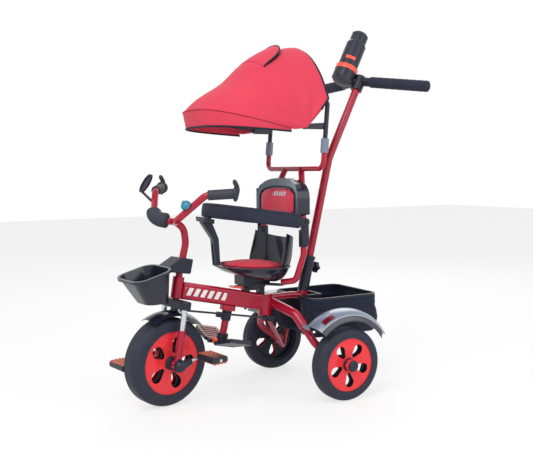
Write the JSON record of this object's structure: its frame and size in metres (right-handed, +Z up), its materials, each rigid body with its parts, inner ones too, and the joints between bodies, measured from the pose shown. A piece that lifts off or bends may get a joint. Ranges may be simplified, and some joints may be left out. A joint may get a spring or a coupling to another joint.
{
  "type": "children's tricycle",
  "caption": "Children's push tricycle with swivel seat, guard ring, folding canopy, steering push bar, baskets and folding footrest",
  "frame": {"origin": "on the floor, midway between the rear wheels, under their common axis", "axes": "+X forward, +Y to the child's left, +Z up"},
  "size_m": [0.9557, 0.5252, 1.1458],
  "materials": {
    "red_paint": "gloss",
    "red_plastic": "gloss",
    "black_plastic": "satin",
    "steel": "polished",
    "black_wire": "satin",
    "grey_plastic": "satin",
    "tyre_rubber": "matte",
    "foam": "matte",
    "black_cloth": "woven",
    "red_cloth": "woven",
    "canopy_cloth": "woven",
    "bar_paint": "gloss",
    "teal_plastic": "gloss"
  },
  "bodies": {
    "frame": {"main_beam": "red_paint", "frame_leg_left": "red_paint", "frame_leg_right": "red_paint", "right_stay": "red_paint", "rear_fender_left": "grey_plastic", "rear_fender_right": "grey_plastic", "rear_basket": "black_cloth", "rear_basket_rim": "black_wire", "seat_base": "black_plastic", "footrest_clamp": "black_plastic"},
    "steering": {"fork_crown": "black_plastic", "fork_stanchions": "steel", "fork_legs": "red_paint", "front_fender": "black_plastic", "handlebar": "red_paint", "handlebar_foam": "foam", "mirror": "black_plastic", "bell": "teal_plastic", "front_basket": "black_plastic", "front_basket_bracket": "black_plastic"},
    "front_wheel": {"front_tyre": "tyre_rubber", "front_rim": "black_plastic", "front_covers": "red_plastic", "crank": "steel"},
    "pedal_left": {"pedal_left": "black_plastic"},
    "pedal_right": {"pedal_right": "black_plastic"},
    "rear_wheel_left": {"rear_tyre_left": "tyre_rubber", "rear_rim_left": "black_plastic", "rear_cover_left": "red_plastic"},
    "rear_wheel_right": {"rear_tyre_right": "tyre_rubber", "rear_rim_right": "black_plastic", "rear_cover_right": "red_plastic"},
    "relay": {"relay_lever": "black_plastic"},
    "link": {"steering_rod": "black_wire"},
    "bar_socket": {"bar_socket": "black_plastic"},
    "push_bar": {"push_bar": "bar_paint", "handle_hub": "black_plastic", "handle_grips": "foam"},
    "clamp_knob": {"clamp_knob": "black_plastic"},
    "bottle": {"bottle": "black_plastic"},
    "seat": {"seat_turntable": "black_plastic", "seat_shell": "black_plastic", "seat_cushion": "red_cloth", "backrest_shell": "black_plastic", "backrest_pad": "red_cloth", "backrest_frame": "red_paint", "guard_sockets": "black_plastic", "canopy_sleeves": "grey_plastic", "canopy_posts": "black_wire", "canopy_fabric": "canopy_cloth"},
    "swivel_lever": {"swivel_lever": "red_plastic"},
    "guard": {"guard_ring": "foam", "crotch_post": "black_plastic"},
    "canopy_front": {"canopy_front_bow": "black_wire"},
    "canopy_middle": {"canopy_mid_bow": "black_wire"},
    "footrest": {"footrest_stem": "red_paint", "footrest_hub": "black_plastic"},
    "foot_plate_left": {"foot_plate_left": "black_plastic"},
    "foot_plate_right": {"foot_plate_right": "black_plastic"}
  },
  "joints": [
    {"name": "steer", "type": "hinge", "parent": "frame", "child": "steering", "pos_m": [0.479, 0, 0.13], "axis": [-0.1633, 0, 0.9866], "range_deg": [-37.5, 12.5]},
    {"name": "front_wheel_spin", "type": "hinge", "parent": "steering", "child": "front_wheel", "pos_m": [0.479, 0, 0.13], "axis": [-0.2135, 0.9763, -0.0354], "continuous": true},
    {"name": "pedal_left_spin", "type": "hinge", "parent": "front_wheel", "child": "pedal_left", "pos_m": [0.38721, 0.06054, 0.14984], "axis": [-0.2135, 0.9763, -0.0354], "continuous": true},
    {"name": "pedal_right_spin", "type": "hinge", "parent": "front_wheel", "child": "pedal_right", "pos_m": [0.57079, -0.06054, 0.11016], "axis": [-0.2135, 0.9763, -0.0354], "continuous": true},
    {"name": "rear_wheel_left_spin", "type": "hinge", "parent": "frame", "child": "rear_wheel_left", "pos_m": [0, 0.218, 0.109], "axis": [0, 1, 0], "continuous": true},
    {"name": "rear_wheel_right_spin", "type": "hinge", "parent": "frame", "child": "rear_wheel_right", "pos_m": [0, -0.218, 0.109], "axis": [0, 1, 0], "continuous": true},
    {"name": "relay_turn", "type": "hinge", "parent": "frame", "child": "relay", "pos_m": [0.15, 0, 0.229], "axis": [-0.1633, 0, 0.9866], "range_deg": [-37.5, 12.5]},
    {"name": "link_turn", "type": "hinge", "parent": "steering", "child": "link", "pos_m": [0.44134, 0.02799, 0.28189], "axis": [-0.1633, 0, 0.9866], "range_deg": [-12.5, 37.5]},
    {"name": "bar_turn", "type": "hinge", "parent": "frame", "child": "bar_socket", "pos_m": [0.011, 0, 0.301], "axis": [-0.2334, 0, 0.9724], "range_deg": [-37.5, 12.5]},
    {"name": "push_bar_height", "type": "slide", "parent": "bar_socket", "child": "push_bar", "axis": [-0.2334, 0, 0.9724], "range_m": [0, 0.05]},
    {"name": "clamp_knob_turn", "type": "hinge", "parent": "bar_socket", "child": "clamp_knob", "pos_m": [-0.03236, -0.00563, 0.37286], "axis": [-0.9493, -0.2164, -0.2279], "range_deg": [0, 180]},
    {"name": "bottle_lift", "type": "slide", "parent": "push_bar", "child": "bottle", "axis": [-0.464, -0.0543, 0.8842], "range_m": [0, 0.12]},
    {"name": "seat_swivel", "type": "hinge", "parent": "frame", "child": "seat", "pos_m": [0.195, 0, 0.335], "axis": [0, 0, 1], "continuous": true},
    {"name": "swivel_lever_press", "type": "hinge", "parent": "frame", "child": "swivel_lever", "pos_m": [0.239, 0, 0.3295], "axis": [0, 1, 0], "range_deg": [0, 5], "stiffness_Nm_per_rad": 0.6},
    {"name": "guard_lift", "type": "hinge", "parent": "seat", "child": "guard", "pos_m": [0.088, 0, 0.53], "axis": [0, -1, 0], "range_deg": [0, 54]},
    {"name": "canopy_fold", "type": "hinge", "parent": "seat", "child": "canopy_front", "pos_m": [0.095, 0, 0.811], "axis": [0, -1, 0], "range_deg": [0, 70], "deforming": ["canopy_fabric"]},
    {"name": "canopy_middle_fold", "type": "hinge", "parent": "seat", "child": "canopy_middle", "pos_m": [0.095, 0, 0.811], "axis": [0, -1, 0], "range_deg": [0, 35]},
    {"name": "footrest_height", "type": "slide", "parent": "frame", "child": "footrest", "axis": [-0.2147, 0, 0.9767], "range_m": [-0.03, 0]},
    {"name": "foot_plate_left_fold", "type": "hinge", "parent": "footrest", "child": "foot_plate_left", "pos_m": [0.30348, 0.024, 0.16486], "axis": [0.9767, 0, 0.2147], "range_deg": [0, 50]},
    {"name": "foot_plate_right_fold", "type": "hinge", "parent": "footrest", "child": "foot_plate_right", "pos_m": [0.30348, -0.024, 0.16486], "axis": [-0.9767, 0, -0.2147], "range_deg": [0, 50]}
  ],
  "couplings": [
    {"joint": "relay_turn", "follows": "steer", "ratio": 1},
    {"joint": "link_turn", "follows": "steer", "ratio": -1},
    {"joint": "bar_turn", "follows": "steer", "ratio": 1},
    {"joint": "canopy_middle_fold", "follows": "canopy_fold", "ratio": 0.5}
  ]
}
